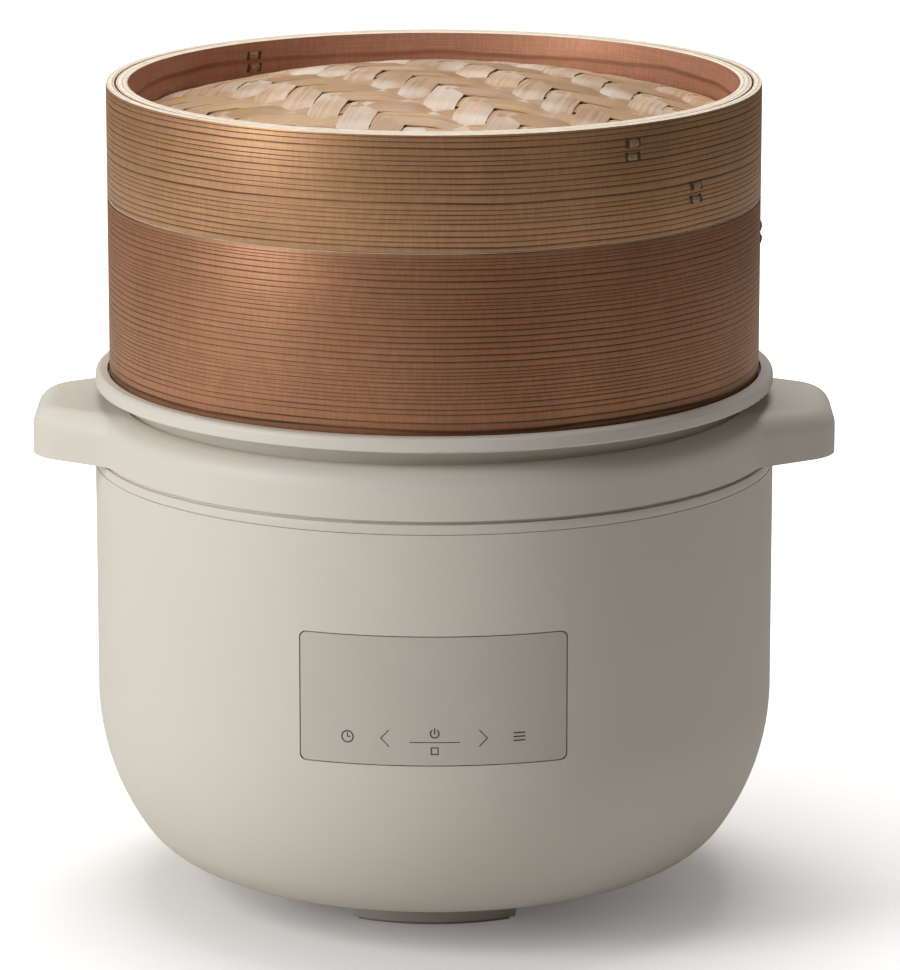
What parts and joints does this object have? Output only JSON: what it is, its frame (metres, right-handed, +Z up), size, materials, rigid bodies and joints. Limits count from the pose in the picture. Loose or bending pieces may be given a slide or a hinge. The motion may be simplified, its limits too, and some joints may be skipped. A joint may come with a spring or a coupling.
{
  "type": "electric food steamer",
  "caption": "Round table-top electric steamer with a touch panel, two grips, an inner pot, a steam ring and a lidded wooden hoop basket.",
  "frame": {"origin": "on the ground, under the middle of the base", "axes": "+Z up, control panel towards -Y, +X to the right as the panel is read"},
  "size_m": [0.273, 0.2326, 0.2839],
  "materials": {
    "body_plastic": "fine satin",
    "panel_plastic": "smooth",
    "wood": "bare, oiled",
    "bamboo": "bare",
    "cane": "bare",
    "steel": "brushed",
    "cast_aluminium": "satin",
    "silicone": "matte",
    "pad_rubber": "matte",
    "board": "satin",
    "dark_plastic": "fine",
    "brass": "plain",
    "ceramic": "matte"
  },
  "bodies": {
    "base": {"body_shell": "body_plastic", "trim_band": "body_plastic", "handle_collar": "body_plastic", "collar_screws": "steel", "bottom_cover": "body_plastic", "foot_pads": "pad_rubber", "bottom_screws": "steel", "inner_liner": "steel", "liner_screws": "steel", "heating_plate": "cast_aluminium", "heating_tube": "steel", "heater_terminals": "brass", "plate_supports": "steel", "sensor_holder": "dark_plastic", "sensor_spring": "steel", "thermal_fuse": "ceramic", "power_board": "board", "power_components": "dark_plastic", "board_screws": "steel", "control_panel": "panel_plastic", "control_board": "board", "display_module": "dark_plastic", "touch_electrodes": "dark_plastic", "inlet_housing": "dark_plastic", "inlet_pins": "brass"},
    "sensor": {"sensor_cap": "cast_aluminium"},
    "pot": {"inner_pot": "steel"},
    "ring": {"steam_ring": "body_plastic", "ring_gasket": "silicone"},
    "basket": {"basket_outer_hoop": "wood", "basket_inner_hoop": "wood", "basket_holding_strip": "bamboo", "floor_battens": "bamboo", "floor_slats": "bamboo", "basket_stitches": "cane"},
    "lid": {"lid_outer_hoop": "wood", "lid_inner_hoop": "wood", "lid_holding_strip": "bamboo", "lid_mat": "bamboo", "lid_stitches": "cane"}
  },
  "joints": [
    {"name": "sensor_press", "type": "slide", "parent": "base", "child": "sensor", "axis": [0, 0, 1], "range_m": [-0.0025, 0], "stiffness_N_per_m": 300, "springref_m": 0.003, "deforming": ["sensor_spring"]},
    {"name": "pot_lift", "type": "slide", "parent": "base", "child": "pot", "axis": [0, 0, 1], "range_m": [0, 0.12]},
    {"name": "ring_lift", "type": "slide", "parent": "pot", "child": "ring", "axis": [0, 0, 1], "range_m": [0, 0.05]},
    {"name": "basket_lift", "type": "slide", "parent": "ring", "child": "basket", "axis": [0, 0, 1], "range_m": [0, 0.08]},
    {"name": "lid_lift", "type": "slide", "parent": "basket", "child": "lid", "axis": [0, 0, 1], "range_m": [0, 0.08]}
  ]
}
